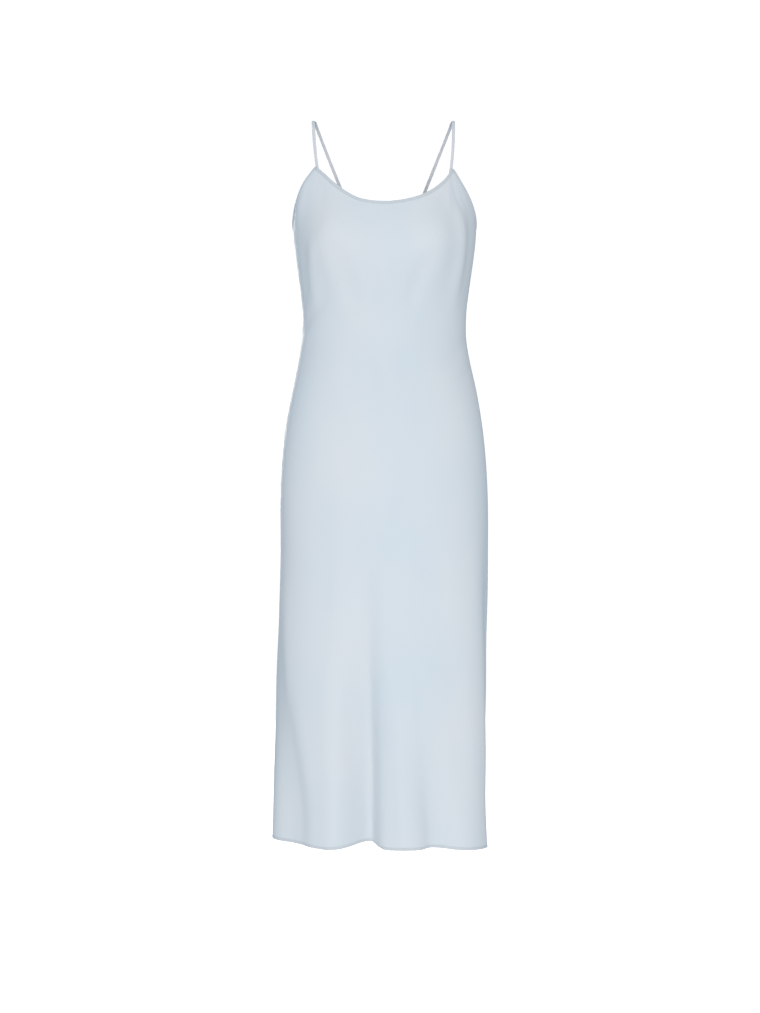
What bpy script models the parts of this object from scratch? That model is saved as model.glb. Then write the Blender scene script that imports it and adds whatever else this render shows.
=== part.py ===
"""A bias-cut midi slip dress with narrow shoulder straps, filled out as it is worn, with nobody in it.

Metres, +Z up. The front faces -Y and the wearer's left is at +X. The origin is midway between the
undersides of the two straps at the tops of the shoulders, where the wearer carries the dress.

The cloth is a wall on one form: rings round the figure, one for each height, shaped by the bust and by the
folds of the skirt. A place on it is an angle round the figure, in degrees from the centre front towards the
wearer's left, and a height. The form is the cloth's inner face, and each piece is thickened outwards from it.
"""

import math
from collections import namedtuple

import bmesh
import bpy
import numpy as np

for old in list(bpy.data.objects):
    bpy.data.objects.remove(old, do_unlink=True)
DRESS = bpy.data.collections.new("slip_dress")
bpy.context.scene.collection.children.link(DRESS)

# Cloth and trim
CLOTH = 0.0012  # wall of the panels
FOLDED_CLOTH = 0.0018  # wall where the cloth is folded on itself: bindings and hem
SEAM_GAP = 0.0003
EDGE_GAP = 0.0004  # between a binding and its panel, whose facets differ on the curves
BINDING_WIDTH = 0.0055
HEM_WIDTH = 0.0045
HEM_STEP = 0.0004  # height in which the wall thickens to the turned hem
STRAP_WIDTH = 0.0055
STRAP_THICK = 0.0014
STRAP_TAIL = 0.009  # length of strap sewn behind the edge of a panel
POINT_BLUNT = 0.0020  # how far a strap point is taken in from where its two edges would meet
MITRE_PULL = 0.0002  # how far a binding stops short of its mitre at a strap point

# Mesh
PANEL_ROWS = 27
ROW_CROWDING = 1.25  # above 1, rows lie closer towards the top
FRONT_NECK_COLUMNS = 26
FRONT_ARM_COLUMNS = 9
BACK_NECK_COLUMNS = 14
BACK_ARM_COLUMNS = 15
STRAP_STEPS = 15  # along each half of a strap
TAIL_STEPS = 3  # along a strap's sewn end
SETTLING = 0.32  # share of a panel's height in which its columns leave the upper edge's spacing
END_COLUMN = 0.0032  # width of a binding's first and last column

SIDE_SEAM = 90.0  # angle of the left side seam, and of the right one below zero

Ring = namedtuple("Ring", "z right left front back squareness")
RINGS = (
    Ring(-0.040, 0.1410, 0.1410, 0.081, 0.080, 2.30),
    Ring(-0.090, 0.1465, 0.1465, 0.096, 0.094, 2.30),
    Ring(-0.130, 0.1495, 0.1497, 0.107, 0.099, 2.30),
    Ring(-0.160, 0.1503, 0.1505, 0.115, 0.101, 2.28),
    Ring(-0.200, 0.1479, 0.1483, 0.121, 0.101, 2.28),
    Ring(-0.240, 0.1429, 0.1431, 0.119, 0.097, 2.28),
    Ring(-0.290, 0.1367, 0.1366, 0.109, 0.089, 2.28),
    Ring(-0.335, 0.1332, 0.1332, 0.102, 0.085, 2.28),
    Ring(-0.380, 0.1371, 0.1368, 0.103, 0.089, 2.36),
    Ring(-0.430, 0.1473, 0.1476, 0.108, 0.101, 2.48),
    Ring(-0.490, 0.1590, 0.1584, 0.114, 0.115, 2.60),
    Ring(-0.560, 0.1668, 0.1661, 0.118, 0.124, 2.68),
    Ring(-0.630, 0.1696, 0.1688, 0.120, 0.126, 2.72),
    Ring(-0.720, 0.1698, 0.1684, 0.122, 0.126, 2.74),
    Ring(-0.860, 0.1741, 0.1668, 0.128, 0.129, 2.76),
    Ring(-1.000, 0.1780, 0.1643, 0.135, 0.134, 2.78),
    Ring(-1.120, 0.1810, 0.1618, 0.141, 0.140, 2.80),
    Ring(-1.195, 0.1825, 0.1652, 0.145, 0.144, 2.80),
)

# Fullness of the bust: the cloth stands out round a place, and falls away above and below it.
Fullness = namedtuple("Fullness", "angle z rise spread above below")
BUST = (
    Fullness(-37.0, -0.200, 0.014, 17.0, 0.048, 0.062),
    Fullness(37.0, -0.203, 0.014, 17.0, 0.048, 0.062),
)

# Folds of the skirt. Each runs from one angle at its top to another at the hem and reaches its full depth at
# z_full. A trough has a depth below zero and a crest one above it. before and after are its reach in degrees on
# either side, and lift is how far it raises the hem.
Fold = namedtuple("Fold", "angle_top angle_hem z_top z_full depth before after lift")
FOLDS = (
    Fold(-72.0, -68.0, -0.98, -1.18, 0.005, 7.0, 8.0, 0.0000),
    Fold(-80.0, -53.0, -0.74, -1.16, -0.010, 11.5, 8.0, 0.0005),
    Fold(-38.0, -29.0, -0.76, -1.17, 0.006, 8.0, 8.0, 0.0000),
    Fold(-15.0, -11.8, -0.66, -1.16, -0.030, 13.0, 8.4, 0.0118),
    Fold(8.0, 12.0, -0.80, -1.17, 0.006, 7.0, 9.0, 0.0000),
    Fold(28.0, 32.0, -0.98, -1.18, -0.012, 7.5, 10.0, 0.0035),
    Fold(56.0, 60.0, -0.50, -1.12, 0.012, 17.0, 11.0, 0.0000),
    Fold(73.0, 76.0, -0.60, -1.00, -0.005, 6.0, 5.0, 0.0000),
    Fold(104.0, 109.0, -0.84, -1.17, -0.012, 7.0, 8.0, 0.0020),
    Fold(124.0, 128.0, -0.80, -1.17, 0.006, 9.0, 9.0, 0.0000),
    Fold(152.0, 147.0, -0.70, -1.16, -0.025, 8.0, 7.0, 0.0080),
    Fold(176.0, 172.0, -0.78, -1.17, 0.006, 10.0, 10.0, 0.0000),
    Fold(201.0, 196.0, -0.76, -1.17, -0.028, 7.0, 9.0, 0.0090),
    Fold(222.0, 220.0, -0.80, -1.17, 0.006, 9.0, 9.0, 0.0000),
    Fold(243.0, 247.0, -0.88, -1.17, -0.016, 8.0, 8.0, 0.0030),
)
# Squareness of a fold where it starts and at the hem. Above 2, its bottom is flat and its flanks are steep.
FOLD_SQUARENESS = (2.0, 2.5)

# Edges: the finished edge of the cloth at each angle.
Edge = namedtuple("Edge", "angle z")
NECKLINE = (
    Edge(-59.0, -0.0816),
    Edge(-52.0, -0.0932),
    Edge(-41.0, -0.1129),
    Edge(-30.6, -0.1285),
    Edge(-21.0, -0.1390),
    Edge(-11.0, -0.1435),
    Edge(0.0, -0.1449),
    Edge(13.0, -0.1429),
    Edge(22.5, -0.1388),
    Edge(32.0, -0.1314),
    Edge(42.0, -0.1187),
    Edge(50.8, -0.1028),
    Edge(57.9, -0.0847),
)
ARMHOLE_LEFT = (
    Edge(57.9, -0.0847),
    Edge(60.7, -0.0963),
    Edge(63.6, -0.1083),
    Edge(67.0, -0.1200),
    Edge(71.0, -0.1325),
    Edge(75.5, -0.1450),
    Edge(82.0, -0.1600),
    Edge(91.0, -0.1725),
    Edge(104.0, -0.1780),
    Edge(124.0, -0.1700),
    Edge(140.0, -0.1555),
    Edge(151.0, -0.1400),
)
BACK_NECKLINE = (
    Edge(151.0, -0.1400),
    Edge(162.0, -0.1570),
    Edge(180.0, -0.1650),
    Edge(198.0, -0.1570),
    Edge(210.0, -0.1400),
)
ARMHOLE_RIGHT = (
    Edge(210.0, -0.1400),
    Edge(221.0, -0.1555),
    Edge(237.0, -0.1700),
    Edge(257.0, -0.1780),
    Edge(269.5, -0.1720),
    Edge(278.5, -0.1580),
    Edge(284.2, -0.1435),
    Edge(288.0, -0.1318),
    Edge(291.6, -0.1201),
    Edge(294.6, -0.1081),
    Edge(297.6, -0.0958),
    Edge(301.0, -0.0816),
)
HEM = (
    Edge(-90.0, -1.1672),
    Edge(-50.0, -1.1738),
    Edge(-25.0, -1.1785),
    Edge(12.0, -1.1768),
    Edge(50.0, -1.1812),
    Edge(90.0, -1.1838),
    Edge(135.0, -1.1900),
    Edge(180.0, -1.1840),
    Edge(225.0, -1.1790),
    Edge(270.0, -1.1672),
)

# Straps. The sewn ends lie behind the strap points, and lean there by so many degrees from straight up,
# towards rising angles. Each strap lies flat on the shoulder from shoulder_x for SHOULDER_FLAT, shifting
# sideways by shoulder_shift.
Strap = namedtuple(
    "Strap", "name front_angle front_z front_lean shoulder_x shoulder_shift back_angle back_z back_lean"
)
STRAPS = (
    Strap("strap_left", 56.8, -0.0882, 17.0, 0.1132, -0.0013, 151.3, -0.1415, -23.0),
    Strap("strap_right", -57.6, -0.0850, -18.0, -0.1167, 0.0023, 209.7, -0.1415, 25.0),
)
SHOULDER_FLAT = 0.008
RISE_HANDLE = 0.040  # handles of the curves between a strap's ends and its shoulder
SHOULDER_HANDLE = 0.036
DROP_HANDLE = 0.050

BLUE = (0.62, 0.69, 0.75, 1.0)
BLUE_TRIM = (0.58, 0.65, 0.71, 1.0)
SATIN_ROUGHNESS = 0.42

STEP_ANGLE = 0.05  # degrees, for slopes of the form
STEP_Z = 0.0004
FINE = 480  # points along an edge before it is divided into columns


# ---- Curves ----


def spline(keys, values):
    """The natural cubic curve through (key, value) rows with rising keys, as a function of arrays."""
    keys, values = np.asarray(keys, float), np.asarray(values, float)
    gaps, rises = np.diff(keys), np.diff(values) / np.diff(keys)
    matrix = np.eye(len(keys))
    right = np.zeros(len(keys))
    for i in range(1, len(keys) - 1):
        matrix[i, i - 1 : i + 2] = gaps[i - 1], 2 * (gaps[i - 1] + gaps[i]), gaps[i]
        right[i] = 6 * (rises[i] - rises[i - 1])
    bends = np.linalg.solve(matrix, right)

    def curve(at):
        at = np.asarray(at, float)
        i = np.clip(np.searchsorted(keys, at) - 1, 0, len(gaps) - 1)
        gap, low, high = gaps[i], at - keys[i], keys[i + 1] - at
        cubic = (bends[i] * high**3 + bends[i + 1] * low**3) / (6 * gap)
        from_low = (values[i] / gap - bends[i] * gap / 6) * high
        from_high = (values[i + 1] / gap - bends[i + 1] * gap / 6) * low
        return cubic + from_low + from_high

    return curve


def table_curve(rows, key, column):
    """The spline through one column of a table, against another."""
    rows = sorted(rows, key=lambda row: getattr(row, key))
    return spline([getattr(r, key) for r in rows], [getattr(r, column) for r in rows])


def smoothstep(x):
    x = np.clip(x, 0.0, 1.0)
    return x * x * (3 - 2 * x)


def angle_between(angle, centre):
    """The signed turn in degrees from centre to angle, between -180 and 180."""
    return (np.asarray(angle) - centre + 180.0) % 360.0 - 180.0


def unit(vector):
    return vector / np.linalg.norm(vector, axis=-1, keepdims=True)


def lengths_along(points):
    """The length of a line of points from its start to each of them."""
    return np.append(0.0, np.cumsum(np.linalg.norm(np.diff(points, axis=0), axis=1)))


# ---- The form of the cloth ----

RING_CURVES = {column: table_curve(RINGS, "z", column) for column in Ring._fields[1:]}
HEM_CURVE = table_curve(HEM, "angle", "z")


def fold_share(fold, angle, z):
    """How far a fold is formed at a place, from 0 to 1."""
    grown = smoothstep((fold.z_top - z) / (fold.z_top - fold.z_full))
    centre = fold.angle_top + (fold.angle_hem - fold.angle_top) * grown
    turn = angle_between(angle, centre)
    reach = np.where(turn < 0, fold.before, fold.after)
    squareness = FOLD_SQUARENESS[0] + (FOLD_SQUARENESS[1] - FOLD_SQUARENESS[0]) * grown
    return grown * np.exp(-np.abs(turn / reach) ** squareness)


def bust_fullness(angle, z):
    total = 0.0
    for full in BUST:
        height = np.where(z > full.z, (z - full.z) / full.above, (z - full.z) / full.below)
        turn = angle_between(angle, full.angle) / full.spread
        total = total + full.rise * np.exp(-(turn**2) - height**2)
    return total


def form(angle, z):
    """Points of the cloth's inner face."""
    angle, z = np.broadcast_arrays(np.asarray(angle, float), np.asarray(z, float))
    across, ahead = np.sin(np.radians(angle)), np.cos(np.radians(angle))
    ring = {column: curve(z) for column, curve in RING_CURVES.items()}
    width = np.where(across > 0, ring["left"], ring["right"])
    depth = np.where(ahead > 0, ring["front"], ring["back"])
    power = ring["squareness"]
    radius = (np.abs(across / width) ** power + np.abs(ahead / depth) ** power) ** (-1 / power)
    radius = radius + bust_fullness(angle, z)
    for fold in FOLDS:
        radius = radius + fold.depth * fold_share(fold, angle, z)
    return np.stack([radius * across, -radius * ahead, z], axis=-1)


def slopes(angle, z):
    """How the form moves for each degree of angle and each metre of height."""
    round_ = (form(angle + STEP_ANGLE, z) - form(angle - STEP_ANGLE, z)) / (2 * STEP_ANGLE)
    up = (form(angle, z + STEP_Z) - form(angle, z - STEP_Z)) / (2 * STEP_Z)
    return round_, up


def outward(angle, z):
    """Unit normals of the form, away from the wearer."""
    round_, up = slopes(angle, z)
    return unit(np.cross(round_, up))


def slide(angle, z, move):
    """The angle and height reached by moving along the form by a vector in its tangent plane."""
    round_, up = slopes(angle, z)
    rr, ru, uu = (np.sum(a * b, axis=-1) for a, b in ((round_, round_), (round_, up), (up, up)))
    mr, mu = np.sum(move * round_, axis=-1), np.sum(move * up, axis=-1)
    scale = rr * uu - ru * ru
    return angle + (mr * uu - mu * ru) / scale, z + (mu * rr - mr * ru) / scale


def hem_height(angle):
    """The height of the hem's edge, with its folds."""
    turned = (np.asarray(angle, float) + 90.0) % 360.0 - 90.0
    z = HEM_CURVE(turned)
    for fold in FOLDS:
        z = z + fold.lift * fold_share(fold, turned, fold.z_full)
    return z


# ---- The upper edge ----


def edge_line(rows):
    """A fine line along a finished edge, evenly spaced: its angles, heights and lengths from its start."""
    curve = table_curve(rows, "angle", "z")
    angle = np.linspace(rows[0].angle, rows[-1].angle, FINE)
    length = lengths_along(form(angle, curve(angle)))
    even_length = np.linspace(0, length[-1], FINE)
    even_angle = np.interp(even_length, length, angle)
    return even_angle, curve(even_angle), even_length


def edge_direction(line):
    """Unit tangents along an edge line."""
    angle, z, _ = line
    return unit(np.gradient(form(angle, z), axis=0))


def corner_cut(line, neighbour, at_end, inset):
    """How much of an edge its inset line loses at a corner that it shares with another edge."""
    mine = edge_direction(line)[-1 if at_end else 0]
    other = edge_direction(neighbour)[0 if at_end else -1]
    turn = math.acos(float(np.clip(np.dot(mine, other), -1, 1)))
    return inset * math.tan(turn / 2)


EDGES = {
    "neckline": edge_line(NECKLINE),
    "armhole_left": edge_line(ARMHOLE_LEFT),
    "back_neckline": edge_line(BACK_NECKLINE),
    "armhole_right": edge_line(ARMHOLE_RIGHT),
}
EDGE_ORDER = list(EDGES)  # each ends at the strap point where the next one begins


def inset_line(name, inset, pull=0.0):
    """The line that runs inside an edge at a constant distance, mitred at both strap points, as angles and
    heights. pull is a further distance by which it stops short of both."""
    place = EDGE_ORDER.index(name)
    before, after = EDGES[EDGE_ORDER[place - 1]], EDGES[EDGE_ORDER[(place + 1) % len(EDGE_ORDER)]]
    angle, z, length = EDGES[name]
    start = corner_cut(EDGES[name], before, False, inset) + pull
    end = length[-1] - corner_cut(EDGES[name], after, True, inset) - pull
    feet = np.linspace(start, end, FINE)
    angle, z = np.interp(feet, length, angle), np.interp(feet, length, z)
    along = unit(np.gradient(form(angle, z), axis=0))
    inwards = np.cross(along, outward(angle, z))
    inwards *= np.where(inwards[:, 2:] > 0, -1, 1)
    return slide(angle, z, inset * inwards)


def divide(line, columns, end_column=None):
    """columns + 1 places along a line of angles and heights, evenly spaced but for the width of the columns at
    its ends, where that is given."""
    angle, z = line
    length = lengths_along(form(angle, z))
    stops = np.linspace(0, length[-1], columns + 1)
    if end_column:
        stops[1:-1] = np.linspace(end_column, length[-1] - end_column, columns - 1)
    return np.interp(stops, length, angle), np.interp(stops, length, z)


def cut_line(line, low, high):
    """The stretch of a line between two angles, with its ends exactly there."""
    angle, z = line
    inside = (angle > low) & (angle < high)
    ends = [a for a in (low, high) if angle[0] <= a <= angle[-1]]
    kept = np.sort(np.append(angle[inside], ends))
    return kept, np.interp(kept, angle, z)


# ---- Objects ----


def cloth_material(name, colour):
    material = bpy.data.materials.new(name)
    material.use_nodes = True
    shader = material.node_tree.nodes["Principled BSDF"]
    shader.inputs["Base Color"].default_value = colour
    shader.inputs["Roughness"].default_value = SATIN_ROUGHNESS
    shader.inputs["Metallic"].default_value = 0.0
    return material


def wall_object(name, points, thick, colour, thin=None, folded_rows=0):
    """A wall of cloth: rows of points on its inner face, from the bottom up and each towards the wearer's
    left, thickened outwards. With thin, only the lowest folded_rows rows have the full thickness."""
    rows, columns = points.shape[:2]
    mesh = bpy.data.meshes.new(name)
    grid = bmesh.new()
    bmesh.ops.create_grid(grid, x_segments=columns - 1, y_segments=rows - 1, size=1.0)
    mark = grid.verts.layers.deform.verify()
    for vertex in grid.verts:
        column = round((vertex.co.x + 1) / 2 * (columns - 1))
        row = round((vertex.co.y + 1) / 2 * (rows - 1))
        vertex[mark][0] = 1.0 if row < folded_rows else 0.0
        vertex.co = points[row, column]
    grid.to_mesh(mesh)
    grid.free()
    mesh.shade_smooth()
    thing = bpy.data.objects.new(name, mesh)
    DRESS.objects.link(thing)
    thing.data.materials.append(cloth_material(name, colour))
    thing.vertex_groups.new(name="folded")
    solid = thing.modifiers.new("wall", "SOLIDIFY")
    solid.thickness = thick
    solid.offset = 1.0
    if thin:
        solid.vertex_group = "folded"
        solid.thickness_vertex_group = thin / thick
    return thing


def panel(name, low, high, top_parts):
    """A panel between two side seams. top_parts are the lines of its upper edge with their columns."""
    pieces = [divide(line, columns) for line, columns in top_parts]
    angle = np.concatenate([pieces[0][0]] + [p[0][1:] for p in pieces[1:]])
    z = np.concatenate([pieces[0][1]] + [p[1][1:] for p in pieces[1:]])
    for end, side in ((0, low), (-1, high)):
        angle[end] = side
    even = np.linspace(low, high, len(angle))
    hem = hem_height(even)
    shares = np.linspace(0, 1, PANEL_ROWS + 1) ** ROW_CROWDING
    rows = []
    for share in shares:
        row_angle = angle + (even - angle) * smoothstep(share / SETTLING)
        row_z = z + (hem + HEM_WIDTH + HEM_STEP - z) * share
        rows.append(form(row_angle, row_z))
    rows.append(form(even, hem + HEM_WIDTH))
    rows.append(form(even, hem))
    return wall_object(name, np.array(rows[::-1]), FOLDED_CLOTH, BLUE, thin=CLOTH, folded_rows=2)


def binding(name, edge, columns):
    """The folded strip along one finished edge, between two strap points."""
    lower = divide(inset_line(edge, BINDING_WIDTH, MITRE_PULL), columns, END_COLUMN)
    upper = divide(inset_line(edge, 0.0, MITRE_PULL), columns, END_COLUMN)
    blunt = inset_line(edge, POINT_BLUNT, MITRE_PULL)
    for end in (0, -1):
        upper[0][end], upper[1][end] = blunt[0][end], blunt[1][end]
    points = np.array([form(*lower), form(*upper)])
    return wall_object(name, points, FOLDED_CLOTH, BLUE_TRIM)


def bezier(start, first, second, end):
    """Points of a Bezier curve, without its start."""
    t = np.linspace(0, 1, STRAP_STEPS + 1)[1:, None]
    return start * (1 - t) ** 3 + 3 * first * t * (1 - t) ** 2 + 3 * second * t**2 * (1 - t) + end * t**3


def tail(angle, z, lean):
    """A strap's sewn end, from its tip up to the strap point: its points, the way up it and the way out."""
    round_, up = slopes(angle, z)
    side = unit(round_)
    up = unit(up - side * np.dot(up, side))
    way = unit(up * math.cos(math.radians(lean)) + side * math.sin(math.radians(lean)))
    depth = SEAM_GAP + STRAP_THICK
    points = []
    for length in np.linspace(STRAP_TAIL, 0.0, TAIL_STEPS + 1):
        place = slide(angle, z, -way * length)
        points.append(form(*place) - depth * outward(*place))
    return np.array(points), way, outward(angle, z)


def strap(sizes):
    """One shoulder strap, from behind the front strap point over the shoulder to behind the back one."""
    front, front_way, front_out = tail(sizes.front_angle, sizes.front_z, sizes.front_lean)
    back, back_way, back_out = tail(sizes.back_angle, sizes.back_z, sizes.back_lean)
    shoulder_front = np.array([sizes.shoulder_x, -SHOULDER_FLAT / 2, 0.0])
    shoulder_back = shoulder_front + (sizes.shoulder_shift, SHOULDER_FLAT, 0.0)
    backwards, upwards = np.array([0.0, 1.0, 0.0]), np.array([0.0, 0.0, 1.0])
    rise = bezier(
        front[-1],
        front[-1] + front_way * RISE_HANDLE,
        shoulder_front - backwards * SHOULDER_HANDLE,
        shoulder_front,
    )
    drop = bezier(
        shoulder_back,
        shoulder_back + backwards * SHOULDER_HANDLE,
        back[-1] + back_way * DROP_HANDLE,
        back[-1],
    )
    path = np.concatenate([front, rise, shoulder_back[None], drop, back[-2::-1]])
    flat = slice(TAIL_STEPS + STRAP_STEPS, TAIL_STEPS + STRAP_STEPS + 2)
    travelled = lengths_along(path)
    crest = travelled[flat].mean()
    risen = smoothstep(travelled / crest)[:, None]
    dropped = smoothstep((travelled - crest) / (travelled[-1] - crest))[:, None]
    out = (front_out * (1 - risen) + upwards * risen) * (1 - dropped) + back_out * dropped
    along = unit(np.gradient(path, axis=0))
    out[flat] = upwards
    along[flat] = unit(shoulder_back - shoulder_front)
    across = unit(np.cross(along, out))
    points = np.array([path - across * STRAP_WIDTH / 2, path + across * STRAP_WIDTH / 2])
    return wall_object(sizes.name, points.transpose(1, 0, 2), STRAP_THICK, BLUE_TRIM)


def build_dress():
    lines = {name: inset_line(name, BINDING_WIDTH + EDGE_GAP) for name in EDGES}
    seam = math.degrees(SEAM_GAP / 2 / min(ring.right for ring in RINGS))
    right_arm = (lines["armhole_right"][0] - 360.0, lines["armhole_right"][1])
    front_low, front_high = -SIDE_SEAM + seam, SIDE_SEAM - seam
    panel(
        "front_panel", front_low, front_high,
        [
            (cut_line(right_arm, front_low, 0.0), FRONT_ARM_COLUMNS),
            (lines["neckline"], FRONT_NECK_COLUMNS),
            (cut_line(lines["armhole_left"], 0.0, front_high), FRONT_ARM_COLUMNS),
        ],
    )
    back_low, back_high = SIDE_SEAM + seam, 360.0 - SIDE_SEAM - seam
    panel(
        "back_panel", back_low, back_high,
        [
            (cut_line(lines["armhole_left"], back_low, 180.0), BACK_ARM_COLUMNS),
            (lines["back_neckline"], BACK_NECK_COLUMNS),
            (cut_line(lines["armhole_right"], 180.0, back_high), BACK_ARM_COLUMNS),
        ],
    )
    binding("neckline_binding", "neckline", FRONT_NECK_COLUMNS)
    binding("back_neckline_binding", "back_neckline", BACK_NECK_COLUMNS)
    binding("armhole_binding_left", "armhole_left", FRONT_ARM_COLUMNS + BACK_ARM_COLUMNS)
    binding("armhole_binding_right", "armhole_right", FRONT_ARM_COLUMNS + BACK_ARM_COLUMNS)
    for sizes in STRAPS:
        strap(sizes)


build_dress()
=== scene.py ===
"""The finished look of the slip dress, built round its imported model.

Metres, in the part's frame: +Z up, the front faces -Y and the wearer's left is at +X. The origin is midway
between the undersides of the two straps at the tops of the shoulders.

The form of the cloth is the one in the part's source. A place on it is an angle round the figure, in degrees
from the centre front towards the wearer's left, and a height. The form is the inner face of the solids. What
is sewn here lies at a height above it, which is a distance outwards along its normal.
"""

import math
from collections import namedtuple

import bmesh
import bpy
import numpy as np
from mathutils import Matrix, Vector


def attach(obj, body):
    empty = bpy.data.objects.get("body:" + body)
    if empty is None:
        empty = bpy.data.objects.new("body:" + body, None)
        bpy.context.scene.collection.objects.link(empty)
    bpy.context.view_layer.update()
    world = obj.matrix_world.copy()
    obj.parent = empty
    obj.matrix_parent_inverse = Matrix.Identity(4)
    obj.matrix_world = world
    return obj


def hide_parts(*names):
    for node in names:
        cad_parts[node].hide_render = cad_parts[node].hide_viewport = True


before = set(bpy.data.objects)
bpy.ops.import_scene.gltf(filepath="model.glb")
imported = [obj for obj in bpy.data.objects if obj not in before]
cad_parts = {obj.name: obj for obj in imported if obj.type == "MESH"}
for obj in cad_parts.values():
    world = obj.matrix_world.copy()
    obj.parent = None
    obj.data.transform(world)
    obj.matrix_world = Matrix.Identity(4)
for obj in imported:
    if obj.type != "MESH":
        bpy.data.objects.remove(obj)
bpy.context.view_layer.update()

# ---- Sizes that the part's source gives ----

BINDING_WIDTH = 0.0055
HEM_WIDTH = 0.0045
SEAM_GAP = 0.0003
STRAP_WIDTH = 0.0055
STRAP_THICK = 0.0014
STRAP_TAIL = 0.009  # length of strap sewn behind the edge of a panel
POINT_BLUNT = 0.0020  # how far a strap point is taken in from where its two edges would meet
SIDE_SEAM = 90.0  # angle of the left side seam, and of the right one below zero

Ring = namedtuple("Ring", "z right left front back squareness")
RINGS = (
    Ring(-0.040, 0.1410, 0.1410, 0.081, 0.080, 2.30),
    Ring(-0.090, 0.1465, 0.1465, 0.096, 0.094, 2.30),
    Ring(-0.130, 0.1495, 0.1497, 0.107, 0.099, 2.30),
    Ring(-0.160, 0.1503, 0.1505, 0.115, 0.101, 2.28),
    Ring(-0.200, 0.1479, 0.1483, 0.121, 0.101, 2.28),
    Ring(-0.240, 0.1429, 0.1431, 0.119, 0.097, 2.28),
    Ring(-0.290, 0.1367, 0.1366, 0.109, 0.089, 2.28),
    Ring(-0.335, 0.1332, 0.1332, 0.102, 0.085, 2.28),
    Ring(-0.380, 0.1371, 0.1368, 0.103, 0.089, 2.36),
    Ring(-0.430, 0.1473, 0.1476, 0.108, 0.101, 2.48),
    Ring(-0.490, 0.1590, 0.1584, 0.114, 0.115, 2.60),
    Ring(-0.560, 0.1668, 0.1661, 0.118, 0.124, 2.68),
    Ring(-0.630, 0.1696, 0.1688, 0.120, 0.126, 2.72),
    Ring(-0.720, 0.1698, 0.1684, 0.122, 0.126, 2.74),
    Ring(-0.860, 0.1741, 0.1668, 0.128, 0.129, 2.76),
    Ring(-1.000, 0.1780, 0.1643, 0.135, 0.134, 2.78),
    Ring(-1.120, 0.1810, 0.1618, 0.141, 0.140, 2.80),
    Ring(-1.195, 0.1825, 0.1652, 0.145, 0.144, 2.80),
)

# Fullness of the bust: the cloth stands out round a place, and falls away above and below it.
Fullness = namedtuple("Fullness", "angle z rise spread above below")
BUST = (
    Fullness(-37.0, -0.200, 0.014, 17.0, 0.048, 0.062),
    Fullness(37.0, -0.203, 0.014, 17.0, 0.048, 0.062),
)

# Folds of the skirt. Each runs from one angle at its top to another at the hem and reaches its full depth at
# z_full. A trough has a depth below zero and a crest one above it. before and after are its reach in degrees
# on either side, and lift is how far it raises the hem.
Fold = namedtuple("Fold", "angle_top angle_hem z_top z_full depth before after lift")
FOLDS = (
    Fold(-72.0, -68.0, -0.98, -1.18, 0.005, 7.0, 8.0, 0.0000),
    Fold(-80.0, -53.0, -0.74, -1.16, -0.010, 11.5, 8.0, 0.0005),
    Fold(-38.0, -29.0, -0.76, -1.17, 0.006, 8.0, 8.0, 0.0000),
    Fold(-15.0, -11.8, -0.66, -1.16, -0.030, 13.0, 8.4, 0.0118),
    Fold(8.0, 12.0, -0.80, -1.17, 0.006, 7.0, 9.0, 0.0000),
    Fold(28.0, 32.0, -0.98, -1.18, -0.012, 7.5, 10.0, 0.0035),
    Fold(56.0, 60.0, -0.50, -1.12, 0.012, 17.0, 11.0, 0.0000),
    Fold(73.0, 76.0, -0.60, -1.00, -0.005, 6.0, 5.0, 0.0000),
    Fold(104.0, 109.0, -0.84, -1.17, -0.012, 7.0, 8.0, 0.0020),
    Fold(124.0, 128.0, -0.80, -1.17, 0.006, 9.0, 9.0, 0.0000),
    Fold(152.0, 147.0, -0.70, -1.16, -0.025, 8.0, 7.0, 0.0080),
    Fold(176.0, 172.0, -0.78, -1.17, 0.006, 10.0, 10.0, 0.0000),
    Fold(201.0, 196.0, -0.76, -1.17, -0.028, 7.0, 9.0, 0.0090),
    Fold(222.0, 220.0, -0.80, -1.17, 0.006, 9.0, 9.0, 0.0000),
    Fold(243.0, 247.0, -0.88, -1.17, -0.016, 8.0, 8.0, 0.0030),
)
# Squareness of a fold where it starts and at the hem. Above 2, its bottom is flat and its flanks are steep.
FOLD_SQUARENESS = (2.0, 2.5)

# Edges: the finished edge of the cloth at each angle.
Edge = namedtuple("Edge", "angle z")
NECKLINE = (
    Edge(-59.0, -0.0816),
    Edge(-52.0, -0.0932),
    Edge(-41.0, -0.1129),
    Edge(-30.6, -0.1285),
    Edge(-21.0, -0.1390),
    Edge(-11.0, -0.1435),
    Edge(0.0, -0.1449),
    Edge(13.0, -0.1429),
    Edge(22.5, -0.1388),
    Edge(32.0, -0.1314),
    Edge(42.0, -0.1187),
    Edge(50.8, -0.1028),
    Edge(57.9, -0.0847),
)
ARMHOLE_LEFT = (
    Edge(57.9, -0.0847),
    Edge(60.7, -0.0963),
    Edge(63.6, -0.1083),
    Edge(67.0, -0.1200),
    Edge(71.0, -0.1325),
    Edge(75.5, -0.1450),
    Edge(82.0, -0.1600),
    Edge(91.0, -0.1725),
    Edge(104.0, -0.1780),
    Edge(124.0, -0.1700),
    Edge(140.0, -0.1555),
    Edge(151.0, -0.1400),
)
BACK_NECKLINE = (
    Edge(151.0, -0.1400),
    Edge(162.0, -0.1570),
    Edge(180.0, -0.1650),
    Edge(198.0, -0.1570),
    Edge(210.0, -0.1400),
)
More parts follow.
